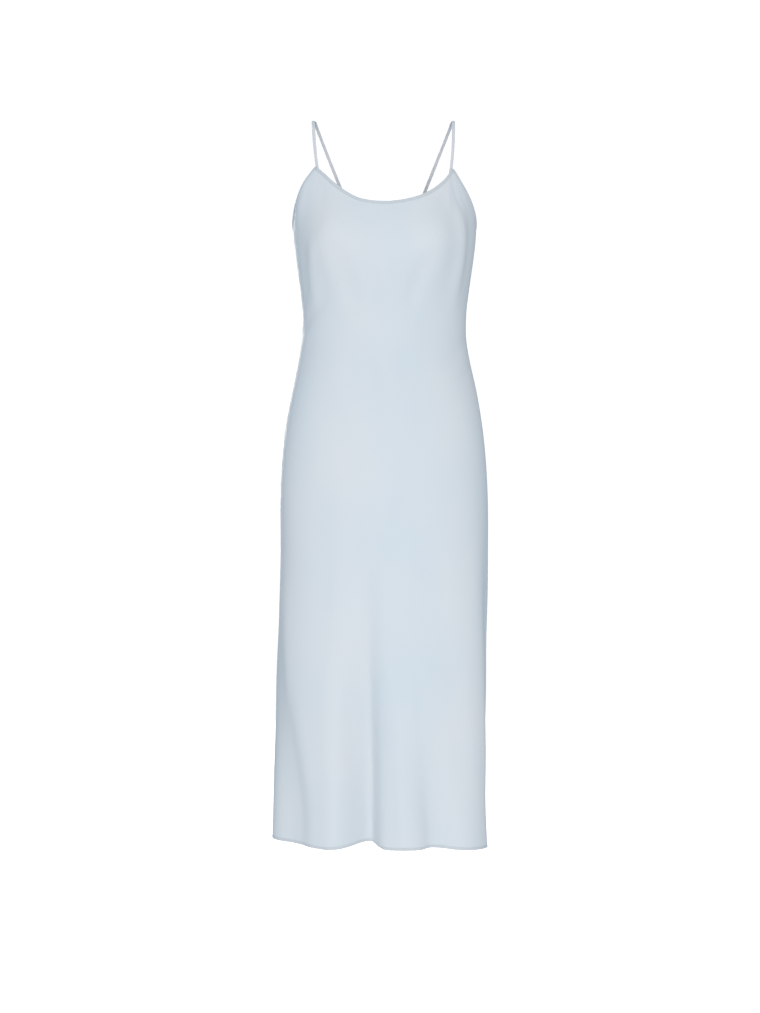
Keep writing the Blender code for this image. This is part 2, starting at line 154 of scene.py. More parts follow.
ARMHOLE_RIGHT = (
    Edge(210.0, -0.1400),
    Edge(221.0, -0.1555),
    Edge(237.0, -0.1700),
    Edge(257.0, -0.1780),
    Edge(269.5, -0.1720),
    Edge(278.5, -0.1580),
    Edge(284.2, -0.1435),
    Edge(288.0, -0.1318),
    Edge(291.6, -0.1201),
    Edge(294.6, -0.1081),
    Edge(297.6, -0.0958),
    Edge(301.0, -0.0816),
)
HEM = (
    Edge(-90.0, -1.1672),
    Edge(-50.0, -1.1738),
    Edge(-25.0, -1.1785),
    Edge(12.0, -1.1768),
    Edge(50.0, -1.1812),
    Edge(90.0, -1.1838),
    Edge(135.0, -1.1900),
    Edge(180.0, -1.1840),
    Edge(225.0, -1.1790),
    Edge(270.0, -1.1672),
)

# Straps. The sewn ends lie behind the strap points, and lean there by so many degrees from straight up,
# towards rising angles. Each strap lies flat on the shoulder from shoulder_x for SHOULDER_FLAT, shifting
# sideways by shoulder_shift.
Strap = namedtuple(
    "Strap", "name front_angle front_z front_lean shoulder_x shoulder_shift back_angle back_z back_lean"
)
STRAPS = (
    Strap("strap_left", 56.8, -0.0882, 17.0, 0.1132, -0.0013, 151.3, -0.1415, -23.0),
    Strap("strap_right", -57.6, -0.0850, -18.0, -0.1167, 0.0023, 209.7, -0.1415, 25.0),
)
SHOULDER_FLAT = 0.008
RISE_HANDLE = 0.040  # handles of the curves between a strap's ends and its shoulder
SHOULDER_HANDLE = 0.036
DROP_HANDLE = 0.050

STEP_ANGLE = 0.05  # degrees, for slopes of the form
STEP_Z = 0.0004
FINE = 900  # points along an edge before it is divided into columns

# ---- Sizes of what is sewn here ----

CLOTH_OUT = 0.0012  # outer face of the panels' cloth, above the form
CLOTH_THICK = 0.0006
EDGE_INSIDE = 0.0016  # how far inside its finished edge the panels' cloth ends, within the binding or hem

SIDE_COLUMNS = 34  # columns of a front panel on each side of the neckline
NECK_COLUMNS = 96
BACK_SIDE_COLUMNS = 56
BACK_NECK_COLUMNS = 52
PANEL_ROWS = 240
ROW_CROWDING = 1.12  # above 1, rows lie closer towards the top
SETTLING = 0.32  # share of a panel's height in which its columns leave the upper edge's spacing
TRIM_STEP = 0.0022  # column width of bindings and hem
TRIM_COLUMNS_LEAST = 8

# Creases: soft troughs (height below zero) and ridges of the cloth. Each follows a curve through three
# places, given as angle and z, and reaches about its width to either side.
Crease = namedtuple("Crease", "start middle end width height")
CREASES = (
    # front, at the waist on the wearer's right: long soft drags that climb from the side towards the bust
    Crease((-92, -0.362), (-62, -0.318), (-32, -0.262), 0.0100, -0.0013),
    Crease((-92, -0.385), (-58, -0.338), (-26, -0.292), 0.0120, 0.0008),
    Crease((-94, -0.330), (-74, -0.300), (-58, -0.262), 0.0080, -0.0007),
    # front, at the waist on the wearer's left
    Crease((92, -0.352), (68, -0.372), (46, -0.420), 0.0120, -0.0013),
    Crease((90, -0.392), (70, -0.412), (54, -0.440), 0.0070, -0.0008),
    Crease((94, -0.330), (66, -0.330), (36, -0.360), 0.0130, 0.0007),
    Crease((86, -0.280), (62, -0.292), (40, -0.285), 0.0110, -0.0006),
    # front, puckers across the hip on the wearer's right
    Crease((-86, -0.522), (-68, -0.530), (-46, -0.541), 0.0050, -0.0005),
    Crease((-84, -0.546), (-66, -0.552), (-52, -0.556), 0.0042, -0.0004),
    Crease((-86, -0.498), (-70, -0.502), (-56, -0.500), 0.0060, -0.0004),
    Crease((-82, -0.585), (-66, -0.590), (-50, -0.600), 0.0060, -0.0003),
    # front, under the neckline and the strap points
    Crease((-25, -0.164), (-15, -0.167), (-5, -0.164), 0.0045, -0.0006),
    Crease((-2, -0.168), (8, -0.171), (18, -0.166), 0.0050, 0.0004),
    Crease((56, -0.096), (56, -0.128), (60, -0.170), 0.0045, -0.0008),
    Crease((53, -0.102), (50, -0.135), (47, -0.170), 0.0050, 0.0006),
    Crease((61, -0.104), (64, -0.130), (70, -0.160), 0.0045, 0.0005),
    Crease((-57, -0.096), (-57, -0.125), (-58, -0.155), 0.0060, 0.0005),
    Crease((-52, -0.104), (-48, -0.132), (-45, -0.160), 0.0055, -0.0004),
    # front, under the bust
    Crease((-44, -0.195), (-31, -0.250), (-26, -0.350), 0.0210, -0.0030),
    Crease((38, -0.215), (26, -0.265), (21, -0.340), 0.0180, -0.0026),
    Crease((-8, -0.215), (0, -0.300), (8, -0.440), 0.0160, 0.0012),
    Crease((-50, -0.190), (-55, -0.250), (-62, -0.335), 0.0160, 0.0034),
    Crease((56, -0.130), (57, -0.215), (60, -0.340), 0.0170, 0.0056),
    # front, the outer chest on the wearer's right, drawn flat towards the armhole
    Crease((-61, -0.080), (-66, -0.130), (-73, -0.190), 0.0150, 0.0034),
    # front, long slack folds that start under the hips
    Crease((-44, -0.600), (-41, -0.760), (-40, -0.960), 0.0130, -0.0008),
    Crease((-4, -0.640), (0, -0.860), (6, -1.080), 0.0150, 0.0009),
    Crease((38, -0.780), (44, -0.960), (46, -1.140), 0.0110, -0.0007),
    Crease((-68, -0.700), (-64, -0.880), (-62, -1.060), 0.0100, 0.0007),
    Crease((-27, -0.900), (-22, -1.010), (-20, -1.150), 0.0080, -0.0007),
    Crease((18, -0.860), (20, -1.000), (21, -1.150), 0.0090, 0.0006),
    # left side
    Crease((88, -0.210), (100, -0.246), (120, -0.276), 0.0110, -0.0009),
    Crease((84, -0.300), (104, -0.318), (128, -0.350), 0.0130, -0.0011),
    Crease((86, -0.372), (102, -0.384), (124, -0.376), 0.0110, 0.0008),
    Crease((86, -0.430), (100, -0.440), (112, -0.462), 0.0080, -0.0006),
    Crease((94, -0.520), (106, -0.526), (122, -0.536), 0.0060, -0.0004),
    Crease((88, -0.620), (90, -0.800), (94, -1.020), 0.0120, 0.0008),
    # back
    Crease((118, -0.200), (134, -0.224), (152, -0.232), 0.0100, 0.0007),
    Crease((150, -0.156), (148, -0.185), (144, -0.220), 0.0055, -0.0007),
    Crease((157, -0.172), (160, -0.200), (160, -0.236), 0.0060, 0.0005),
    Crease((210, -0.156), (212, -0.186), (216, -0.218), 0.0055, -0.0007),
    Crease((203, -0.172), (200, -0.198), (201, -0.230), 0.0060, 0.0005),
    Crease((166, -0.190), (180, -0.197), (193, -0.189), 0.0055, -0.0005),
    Crease((128, -0.372), (154, -0.350), (178, -0.362), 0.0110, -0.0012),
    Crease((184, -0.340), (208, -0.352), (236, -0.338), 0.0110, -0.0011),
    Crease((150, -0.392), (180, -0.386), (206, -0.398), 0.0100, 0.0009),
    Crease((140, -0.318), (160, -0.306), (184, -0.316), 0.0120, 0.0008),
    Crease((196, -0.420), (216, -0.414), (240, -0.430), 0.0090, -0.0008),
    Crease((124, -0.420), (142, -0.430), (158, -0.424), 0.0080, -0.0006),
    Crease((176, -0.250), (182, -0.300), (181, -0.350), 0.0150, -0.0010),
    Crease((160, -0.640), (158, -0.800), (152, -0.980), 0.0130, -0.0008),
    Crease((190, -0.620), (188, -0.820), (184, -1.080), 0.0150, 0.0009),
    Crease((214, -0.700), (216, -0.880), (214, -1.100), 0.0110, -0.0007),
    Crease((132, -0.720), (134, -0.900), (138, -1.120), 0.0110, 0.0007),
    Crease((172, -0.940), (168, -1.040), (164, -1.160), 0.0080, -0.0007),
    Crease((232, -0.640), (230, -0.800), (234, -0.980), 0.0110, 0.0007),
    # right side
    Crease((272, -0.206), (258, -0.240), (240, -0.262), 0.0110, -0.0009),
    Crease((276, -0.312), (256, -0.326), (234, -0.300), 0.0120, -0.0010),
    Crease((274, -0.392), (254, -0.402), (238, -0.388), 0.0100, 0.0007),
    Crease((270, -0.452), (256, -0.458), (244, -0.472), 0.0070, -0.0005),
    Crease((268, -0.536), (254, -0.542), (240, -0.540), 0.0060, -0.0004),
    Crease((266, -0.640), (262, -0.820), (264, -1.040), 0.0120, -0.0008),
)
CREASE_STEPS = 12  # straight runs that stand for a crease's curve
CREASE_REACH = 3  # widths beyond which a crease adds nothing
CREASE_TAPER = 0.38  # share of a crease's length in which it rises from nothing, at each end
RELIEF_RADIUS = 0.155  # metres round the figure for a radian of angle, near enough for creases

# Slack of the cloth between the creases: waves of (cycles round, cycles a metre down, phase, height)
SLACK = (
    (3.1, 2.3, 0.4, 0.00030),
    (5.3, -3.7, 1.9, 0.00022),
    (8.9, 5.9, 4.1, 0.00014),
    (2.2, 7.3, 2.6, 0.00016),
)

# Seams
SEAM_GROOVE = 0.0009  # depth of the groove where two panels meet
SEAM_REACH = 0.0022
PUCKER_HEIGHT = 0.00014
PUCKER_REACH = 0.010
HEM_PUCKER = 0.5  # share of a seam's pucker that the hem has
PUCKER_WAVES = ((0.0135, 0.0), (0.0087, 2.1))  # (length, phase) of the waves that a seam draws the cloth into
ALLOWANCE_WIDTH = 0.0060  # width of the side seams' allowances inside
ALLOWANCE_OUT = (0.00010, 0.00050)  # inner and outer face of an allowance above the form

# Profiles of the folded strips, as (distance inwards from the finished edge, height above the form).
BINDING_PROFILE = (
    (0.00552, 0.00115),
    (0.00546, 0.00150),
    (0.00515, 0.00164),
    (0.00480, 0.00158),
    (0.00450, 0.00146),
    (0.00420, 0.00158),
    (0.00380, 0.00172),
    (0.00290, 0.00182),
    (0.00180, 0.00186),
    (0.00090, 0.00178),
    (0.00030, 0.00152),
    (0.00004, 0.00112),
    (0.00004, 0.00070),
    (0.00034, 0.00030),
    (0.00110, 0.00010),
    (0.00300, 0.00004),
    (0.00500, 0.00010),
    (0.00546, 0.00050),
)
HEM_PROFILE = (
    (0.00500, 0.00110),
    (0.00462, 0.00121),
    (0.00440, 0.00108),
    (0.00416, 0.00126),
    (0.00360, 0.00150),
    (0.00260, 0.00166),
    (0.00150, 0.00168),
    (0.00070, 0.00156),
    (0.00018, 0.00128),
    (0.00002, 0.00092),
    (0.00018, 0.00054),
    (0.00070, 0.00022),
    (0.00200, 0.00006),
    (0.00430, 0.00008),
    (0.00470, 0.00040),
    (0.00500, 0.00060),
)
STITCH_LINE_BINDING = 0.0045  # distance of the stitches from the finished edge
STITCH_LINE_HEM = 0.0044
STITCH_SEAT_BINDING = 0.00152  # height of the stitches' middles above the form
STITCH_SEAT_HEM = 0.00118

# Stitches
STITCH_LENGTH = 0.0021
STITCH_PITCH = 0.0027
STITCH_RADIUS = 0.00016
STITCH_SIDES = 6
STITCH_RINGS = ((-0.5, 0.35), (-0.36, 0.9), (0.36, 0.9), (0.5, 0.35))  # (share of length, share of radius)
BAR_STITCHES = 3  # stitches across a strap point
BAR_DEPTH = 0.0036  # how far below the strap's seam they lie
BAR_SEAT = 0.00182  # height of their middles above the form
BAR_CROWDING = 0.62  # pitch of the bar's stitches, as a share of the others'
BAR_SHORTNESS = 0.6  # length of the bar's stitches, as a share of the others'

# The straps' finer form
STRAP_STEPS = 90  # along each half of a strap
TAIL_STEPS = 6  # along a strap's sewn end
STRAP_CROWN = 0.00018  # how far a strap's middle stands above its edges
STRAP_PROFILE = (  # (share of half the width, share of the thickness), with the seam's groove underneath
    (-1.00, 0.50),
    (-0.97, 0.80),
    (-0.88, 0.96),
    (-0.60, 1.00),
    (0.00, 1.00),
    (0.60, 1.00),
    (0.88, 0.96),
    (0.97, 0.80),
    (1.00, 0.50),
    (0.97, 0.20),
    (0.88, 0.04),
    (0.10, 0.00),
    (0.04, 0.12),
    (-0.02, 0.00),
    (-0.88, 0.04),
    (-0.97, 0.20),
)

# Colours, linear
SATIN_COOL = (0.548, 0.621, 0.676, 1.0)
SATIN_WARM = (0.597, 0.640, 0.680, 1.0)
# The bindings' two tones, also used for the hem, are darker than the satin's: painted shade for the thin
# shadow lines along the bound edges and the turned hem.
BINDING_SHADED_COOL = (0.487, 0.551, 0.601, 1.0)
BINDING_SHADED_WARM = (0.529, 0.569, 0.608, 1.0)
STRAP_COOL = (0.580, 0.618, 0.650, 1.0)
STRAP_WARM = (0.605, 0.625, 0.660, 1.0)
# Thread, darkened below its own tone: painted shade for the fine shadow line along each row of stitches.
SHADED_THREAD = (0.400, 0.465, 0.525, 1.0)
SHADED_THREAD_PALE = (0.460, 0.53475, 0.60375, 1.0)
PALE = (0.62, 0.61, 0.60, 1.0)
PAPER_GLOW = (1.0, 0.99, 0.975, 1.0)

# Satin
SATIN_IOR = 1.45
DIFFUSE_ROUGHNESS = 0.25
SPECULAR_LEVEL = 0.10
SHEEN = 0.02
SHEEN_ROUGHNESS = 0.45
GLOSS_SPAN = (0.3, 0.7)  # of the drift, over which the roughness goes from its lowest to its highest
ROUGHNESS_SPAN = (0.44, 0.54)
DRIFT_SCALE = 9.0  # the drift between the two tones, in soft bands
DRIFT_DETAIL = 2.0
DRIFT_ROUGHNESS = 0.45
DRIFT_SPAN = (0.32, 0.68)  # of the drift, over which the tone goes from cool to warm
DRIFT_SHIFT = (0.36, 0.0, 0.0)  # where the bands fall
DRIFT_STRETCH = 0.45  # below 1, the bands are longer than they are wide
WEAVE_SCALE = (2600.0, 2600.0 / 9, 1.0)  # across the threads and along them
BIAS = math.radians(45)
WEAVE_BUMP = 0.35
WEAVE_DEPTH = 0.00006

# Thread, and the paper of the backdrop
THREAD_GRAIN = 2500.0
THREAD_ROUGHNESS = 0.6
PAPER_ROUGHNESS = 0.9

# Studio
CAMERA_PLACE = (-0.0071, -3.6, -0.6329)
METRES_A_PIXEL = 0.001648  # at the middle of the dress
PICTURE_LONG_SIDE = 1013
SENSOR = 36.0  # millimetres
FLOOR_Z = -1.46
FLOOR_RADIUS = 5.0  # where the floor begins to curve up into the wall
BEND_RADIUS = 3.0
WALL_TOP = 9.0
STAGE_SIDES = 96
BEND_STEPS = 24
BACKDROP_GLOW = 0.72
ROOM_COLOUR = (0.825, 0.955, 1.065, 1.0)
ROOM_LIGHT = 0.535
FLAG_SHADE = 0.22  # share of the room's light, straight from the wearer's left, that a dark flag takes away

# Softboxes. white_share is how bright a white card at the target looks when it faces the light.
MIDDLE = (0.0, 0.0, CAMERA_PLACE[2])
Lamp = namedtuple("Lamp", "name place target size white_share colour")
LAMPS = (
    Lamp("key", (0.40, -4.5, -0.5), MIDDLE, 2.0, 0.686, (1.080, 0.985, 0.915)),
    Lamp("top", (-2.4, -2.2, 1.8), (0.0, 0.0, -0.3), 1.4, 0.07, (1.15, 0.985, 0.90)),
    Lamp("low_left", (1.3, -0.7, -1.20), (0.15, 0.0, -1.0), 0.5, 0.055, (1.0, 0.985, 0.97)),
    Lamp("low_right", (-1.2, -0.9, -1.50), (-0.17, 0.0, -1.15), 0.5, 0.045, (1.0, 0.985, 0.97)),
    Lamp("back", (-0.9, 4.4, 0.4), MIDDLE, 2.0, 0.52, (1.080, 0.985, 0.915)),
)


# ---- Curves ----


def spline(keys, values):
    """The natural cubic curve through (key, value) rows with rising keys, as a function of arrays."""
    keys, values = np.asarray(keys, float), np.asarray(values, float)
    gaps, rises = np.diff(keys), np.diff(values) / np.diff(keys)
    matrix = np.eye(len(keys))
    right = np.zeros(len(keys))
    for i in range(1, len(keys) - 1):
        matrix[i, i - 1 : i + 2] = gaps[i - 1], 2 * (gaps[i - 1] + gaps[i]), gaps[i]
        right[i] = 6 * (rises[i] - rises[i - 1])
    bends = np.linalg.solve(matrix, right)

    def curve(at):
        at = np.asarray(at, float)
        i = np.clip(np.searchsorted(keys, at) - 1, 0, len(gaps) - 1)
        gap, low, high = gaps[i], at - keys[i], keys[i + 1] - at
        cubic = (bends[i] * high**3 + bends[i + 1] * low**3) / (6 * gap)
        from_low = (values[i] / gap - bends[i] * gap / 6) * high
        from_high = (values[i + 1] / gap - bends[i + 1] * gap / 6) * low
        return cubic + from_low + from_high

    return curve


def table_curve(rows, key, column):
    """The spline through one column of a table, against another."""
    rows = sorted(rows, key=lambda row: getattr(row, key))
    return spline([getattr(r, key) for r in rows], [getattr(r, column) for r in rows])


def smoothstep(x):
    x = np.clip(x, 0.0, 1.0)
    return x * x * (3 - 2 * x)


def angle_between(angle, centre):
    """The signed turn in degrees from centre to angle, between -180 and 180."""
    return (np.asarray(angle) - centre + 180.0) % 360.0 - 180.0


def unit(vector):
    return vector / np.linalg.norm(vector, axis=-1, keepdims=True)


def lengths_along(points):
    """The length of a line of points from its start to each of them."""
    return np.append(0.0, np.cumsum(np.linalg.norm(np.diff(points, axis=0), axis=1)))


# ---- The form of the cloth ----

RING_CURVES = {column: table_curve(RINGS, "z", column) for column in Ring._fields[1:]}
HEM_CURVE = table_curve(HEM, "angle", "z")


def fold_share(fold, angle, z):
    """How far a fold is formed at a place, from 0 to 1."""
    grown = smoothstep((fold.z_top - z) / (fold.z_top - fold.z_full))
    centre = fold.angle_top + (fold.angle_hem - fold.angle_top) * grown
    turn = angle_between(angle, centre)
    reach = np.where(turn < 0, fold.before, fold.after)
    squareness = FOLD_SQUARENESS[0] + (FOLD_SQUARENESS[1] - FOLD_SQUARENESS[0]) * grown
    return grown * np.exp(-np.abs(turn / reach) ** squareness)


def bust_fullness(angle, z):
    total = 0.0
    for full in BUST:
        height = np.where(z > full.z, (z - full.z) / full.above, (z - full.z) / full.below)
        turn = angle_between(angle, full.angle) / full.spread
        total = total + full.rise * np.exp(-(turn**2) - height**2)
    return total


def form(angle, z):
    """Points of the solids' inner face."""
    angle, z = np.broadcast_arrays(np.asarray(angle, float), np.asarray(z, float))
    across, ahead = np.sin(np.radians(angle)), np.cos(np.radians(angle))
    ring = {column: curve(z) for column, curve in RING_CURVES.items()}
    width = np.where(across > 0, ring["left"], ring["right"])
    depth = np.where(ahead > 0, ring["front"], ring["back"])
    power = ring["squareness"]
    radius = (np.abs(across / width) ** power + np.abs(ahead / depth) ** power) ** (-1 / power)
    radius = radius + bust_fullness(angle, z)
    for fold in FOLDS:
        radius = radius + fold.depth * fold_share(fold, angle, z)
    return np.stack([radius * across, -radius * ahead, z], axis=-1)


def slopes(angle, z):
    """How the form moves for each degree of angle and each metre of height."""
    round_ = (form(angle + STEP_ANGLE, z) - form(angle - STEP_ANGLE, z)) / (2 * STEP_ANGLE)
    up = (form(angle, z + STEP_Z) - form(angle, z - STEP_Z)) / (2 * STEP_Z)
    return round_, up


def outward(angle, z):
    """Unit normals of the form, away from the wearer."""
    round_, up = slopes(angle, z)
    return unit(np.cross(round_, up))


def slide(angle, z, move):
    """The angle and height reached by moving along the form by a vector in its tangent plane."""
    round_, up = slopes(angle, z)
    rr, ru, uu = (np.sum(a * b, axis=-1) for a, b in ((round_, round_), (round_, up), (up, up)))
    mr, mu = np.sum(move * round_, axis=-1), np.sum(move * up, axis=-1)
    scale = rr * uu - ru * ru
    return angle + (mr * uu - mu * ru) / scale, z + (mu * rr - mr * ru) / scale


def hem_height(angle):
    """The height of the hem's edge, with its folds."""
    turned = (np.asarray(angle, float) + 90.0) % 360.0 - 90.0
    z = HEM_CURVE(turned)
    for fold in FOLDS:
        z = z + fold.lift * fold_share(fold, turned, fold.z_full)
    return z


# ---- The upper edge ----


def edge_line(rows):
    """A fine line along a finished edge, evenly spaced: its angles, heights and lengths from its start."""
    curve = table_curve(rows, "angle", "z")
    angle = np.linspace(rows[0].angle, rows[-1].angle, FINE)
    length = lengths_along(form(angle, curve(angle)))
    even_length = np.linspace(0, length[-1], FINE)
    even_angle = np.interp(even_length, length, angle)
    return even_angle, curve(even_angle), even_length


def edge_direction(line):
    """Unit tangents along an edge line."""
    angle, z, _ = line
    return unit(np.gradient(form(angle, z), axis=0))


def corner_cut(line, neighbour, at_end, inset):
    """How much of an edge its inset line loses at a strap point. Insets below POINT_BLUNT end on the point's
    flat top, and the others at the mitre between the two bindings."""
    mine = edge_direction(line)[-1 if at_end else 0]
    other = edge_direction(neighbour)[0 if at_end else -1]
    turn = math.acos(float(np.clip(np.dot(mine, other), -1, 1)))
    half_point = (math.pi - turn) / 2
    if inset < POINT_BLUNT:
        return (POINT_BLUNT / math.sin(half_point) - inset * math.sin(half_point)) / math.cos(half_point)
    return inset / math.tan(half_point)


EDGES = {
    "neckline": edge_line(NECKLINE),
    "armhole_left": edge_line(ARMHOLE_LEFT),
    "back_neckline": edge_line(BACK_NECKLINE),
    "armhole_right": edge_line(ARMHOLE_RIGHT),
}
EDGE_ORDER = list(EDGES)  # each ends at the strap point where the next one begins


def inset_line(name, inset):
    """The line that runs inside an edge at a constant distance, mitred at both strap points, as angles and
    heights."""
    place = EDGE_ORDER.index(name)
    before, after = EDGES[EDGE_ORDER[place - 1]], EDGES[EDGE_ORDER[(place + 1) % len(EDGE_ORDER)]]
    angle, z, length = EDGES[name]
    start = corner_cut(EDGES[name], before, False, inset)
    end = length[-1] - corner_cut(EDGES[name], after, True, inset)
    feet = np.linspace(start, end, FINE)
    angle, z = np.interp(feet, length, angle), np.interp(feet, length, z)
    along = unit(np.gradient(form(angle, z), axis=0))
    inwards = np.cross(along, outward(angle, z))
    inwards *= np.where(inwards[:, 2:] > 0, -1, 1)
    return slide(angle, z, inset * inwards)


def line_length(line):
    return lengths_along(form(*line))[-1]


def divide(line, columns):
    """columns + 1 evenly spaced places along a line of angles and heights."""
    angle, z = line
    length = lengths_along(form(angle, z))
    stops = np.linspace(0, length[-1], columns + 1)
    return np.interp(stops, length, angle), np.interp(stops, length, z)


def cut_line(line, low, high):
    """The stretch of a line between two angles, with its ends exactly there."""
    angle, z = line
    inside = (angle > low) & (angle < high)
    ends = [a for a in (low, high) if angle[0] <= a <= angle[-1]]
    kept = np.sort(np.append(angle[inside], ends))
    return kept, np.interp(kept, angle, z)


# ---- The relief of the cloth ----


def crease_height(crease, angle, z):
    """What one crease adds to the cloth's height at each place."""
    (start_angle, start_z), (mid_angle, mid_z), (end_angle, end_z) = crease.start, crease.middle, crease.end
    x = np.radians(angle_between(angle, mid_angle)) * RELIEF_RADIUS
    y = z - mid_z
    ends = np.array(
        [
            (math.radians(start_angle - mid_angle) * RELIEF_RADIUS, start_z - mid_z),
            (math.radians(end_angle - mid_angle) * RELIEF_RADIUS, end_z - mid_z),
        ]
    )
    t = np.linspace(0, 1, CREASE_STEPS + 1)[:, None]
    handle = -(ends[0] + ends[1]) / 2
    line = ends[0] * (1 - t) ** 2 + 2 * handle * t * (1 - t) + ends[1] * t**2
    reach = CREASE_REACH * crease.width
    near = (x > line[:, 0].min() - reach) & (x < line[:, 0].max() + reach)
    near &= (y > line[:, 1].min() - reach) & (y < line[:, 1].max() + reach)
    places = np.stack([x[near], y[near]], axis=-1)
    best = np.full(len(places), np.inf)
    travelled = np.zeros(len(places))
    for i in range(CREASE_STEPS):
        step = line[i + 1] - line[i]
        share = np.clip(((places - line[i]) @ step) / (step @ step), 0, 1)
        apart = np.sum((places - line[i] - share[:, None] * step) ** 2, axis=-1)
        closer = apart < best
        best = np.where(closer, apart, best)
        travelled = np.where(closer, (i + share) / CREASE_STEPS, travelled)
    taper = smoothstep(np.minimum(travelled, 1 - travelled) / CREASE_TAPER)
    height = np.zeros(x.shape)
    height[near] = crease.height * taper * np.exp(-best / crease.width**2)
    return height


def pucker(along, distance):
    """The small waves that a seam draws the cloth into, at a place along it and a distance from it."""
    waves = sum(np.sin(2 * np.pi * along / length + phase) for length, phase in PUCKER_WAVES)
    return PUCKER_HEIGHT * waves * np.exp(-((distance / PUCKER_REACH) ** 2))


def seam_distance(angle, z):
    """The distance round the form from the nearest side seam."""
    turn = np.minimum(np.abs(angle_between(angle, SIDE_SEAM)), np.abs(angle_between(angle, -SIDE_SEAM)))
    return np.radians(turn) * RING_CURVES["left"](z)


def relief(angle, z):
    """How far the cloth stands out from the form at a place, for its creases, slack and seams."""
    angle, z = np.broadcast_arrays(np.asarray(angle, float), np.asarray(z, float))
    total = sum(crease_height(crease, angle, z) for crease in CREASES)
    for round_, down, phase, height in SLACK:
        total = total + height * np.sin(round_ * np.radians(angle) + 2 * np.pi * down * z + phase)
    apart = seam_distance(angle, z)
    total = total - SEAM_GROOVE * np.exp(-((apart / SEAM_REACH) ** 2))
    total = total + pucker(z, apart)
    return total + HEM_PUCKER * pucker(np.radians(angle) * RELIEF_RADIUS, z - hem_height(angle))


def cloth(angle, z, height):
    """Points at a height above the form, carried by the cloth's relief."""
    angle, z = np.broadcast_arrays(np.asarray(angle, float), np.asarray(z, float))
    lift = height + relief(angle, z)
    return form(angle, z) + lift[..., None] * outward(angle, z)


# ---- Meshes ----


def new_object(name, points, faces):
    mesh = bpy.data.meshes.new(name)
    mesh.from_pydata(points.reshape(-1, 3).tolist(), [], faces)
    mesh.shade_smooth()
    thing = bpy.data.objects.new(name, mesh)
    bpy.context.scene.collection.objects.link(thing)
    return thing


def add_cloth_map(thing, coordinates):
    """A map from the mesh to its cloth, in metres: coordinates has a row for each vertex."""
    layer = thing.data.uv_layers.new(name="cloth")
    corners = np.empty(len(thing.data.loops), int)
    thing.data.loops.foreach_get("vertex_index", corners)
    layer.data.foreach_set("uv", np.asarray(coordinates)[corners].ravel())


def grid_faces(rows, columns):
    """Outward quads of a grid of points, with rows from the bottom up and columns towards rising angles."""
    row, column = np.meshgrid(np.arange(rows - 1), np.arange(columns - 1), indexing="ij")
    low = (row * columns + column).ravel()
    return np.stack([low, low + 1, low + columns + 1, low + columns], axis=-1).tolist()


def tube(name, points):
    """A tube with closed ends, from points (profile, column, xyz) whose profile closes on itself."""
    around, columns = points.shape[:2]
    faces = []
    for i in range(around):
        low, high = i * columns, (i + 1) % around * columns
        for j in range(columns - 1):
            faces.append([low + j, high + j, high + j + 1, low + j + 1])
    faces.append([i * columns for i in range(around - 1, -1, -1)])
    faces.append([i * columns + columns - 1 for i in range(around)])
    thing = new_object(name, points, faces)
    make_normals_point_out(thing)
    along, across = np.meshgrid(lengths_along(points[0]), lengths_along(points[:, 0]))
    add_cloth_map(thing, np.stack([along, across], axis=-1).reshape(-1, 2))
    return thing


def make_normals_point_out(thing):
    work = bmesh.new()
    work.from_mesh(thing.data)
    bmesh.ops.recalc_face_normals(work, faces=work.faces)
    work.to_mesh(thing.data)
    work.free()


def panel(name, low, high, top_parts):
    """A panel's cloth between two side seams. top_parts are (line, columns) pairs along its upper edge."""
    pieces = [divide(line, columns) for line, columns in top_parts]
    angle = np.concatenate([pieces[0][0]] + [p[0][1:] for p in pieces[1:]])
    top = np.concatenate([pieces[0][1]] + [p[1][1:] for p in pieces[1:]])
    angle[0], angle[-1] = low, high
    even = np.linspace(low, high, len(angle))
    bottom = hem_height(even) + EDGE_INSIDE
    shares = np.linspace(1, 0, PANEL_ROWS + 1)[:, None] ** ROW_CROWDING
    row_angle = angle + (even - angle) * smoothstep(shares / SETTLING)
    row_z = top + (bottom - top) * shares
    points = cloth(row_angle, row_z, CLOTH_OUT)
    thing = new_object(name, points, grid_faces(*row_angle.shape))
    around = np.radians(row_angle) * RELIEF_RADIUS
    add_cloth_map(thing, np.stack([around, row_z], axis=-1).reshape(-1, 2))
    wall = thing.modifiers.new("wall", "SOLIDIFY")
    wall.thickness = CLOTH_THICK
    wall.offset = -1.0
    return thing


def columns_for(length):
    return max(TRIM_COLUMNS_LEAST, round(length / TRIM_STEP))


def binding(name, edge):
    """The folded strip round one finished edge, from strap point to strap point."""
    columns = columns_for(line_length(inset_line(edge, BINDING_WIDTH)))
    rows = []
    for inset, height in BINDING_PROFILE:
        rows.append(cloth(*divide(inset_line(edge, inset), columns), height))
    return tube(name, np.array(rows))


def hem(name, low, high):
    """The turned hem between two side seams."""
    fine = np.linspace(low, high, FINE)
    columns = columns_for(line_length((fine, hem_height(fine))))
    angle, _ = divide((fine, hem_height(fine)), columns)
    edge = hem_height(angle)
    rows = [cloth(angle, edge + up, height) for up, height in HEM_PROFILE]
    return tube(name, np.array(rows))


def allowance(name, seam_angle, top):
    """The allowances of one side seam, sewn together and pressed flat inside the dress."""
    z = np.linspace(hem_height(seam_angle) + HEM_WIDTH, top, PANEL_ROWS)
    half = np.degrees(ALLOWANCE_WIDTH / 2 / RING_CURVES["left"](z))
    low, high = ALLOWANCE_OUT
    rows = [
        cloth(seam_angle - half, z, low),
        cloth(seam_angle, z, low + SEAM_GROOVE),
        cloth(seam_angle + half, z, low),
        cloth(seam_angle + half, z, high),
        cloth(seam_angle - half, z, high),
    ]
    return tube(name, np.array(rows))


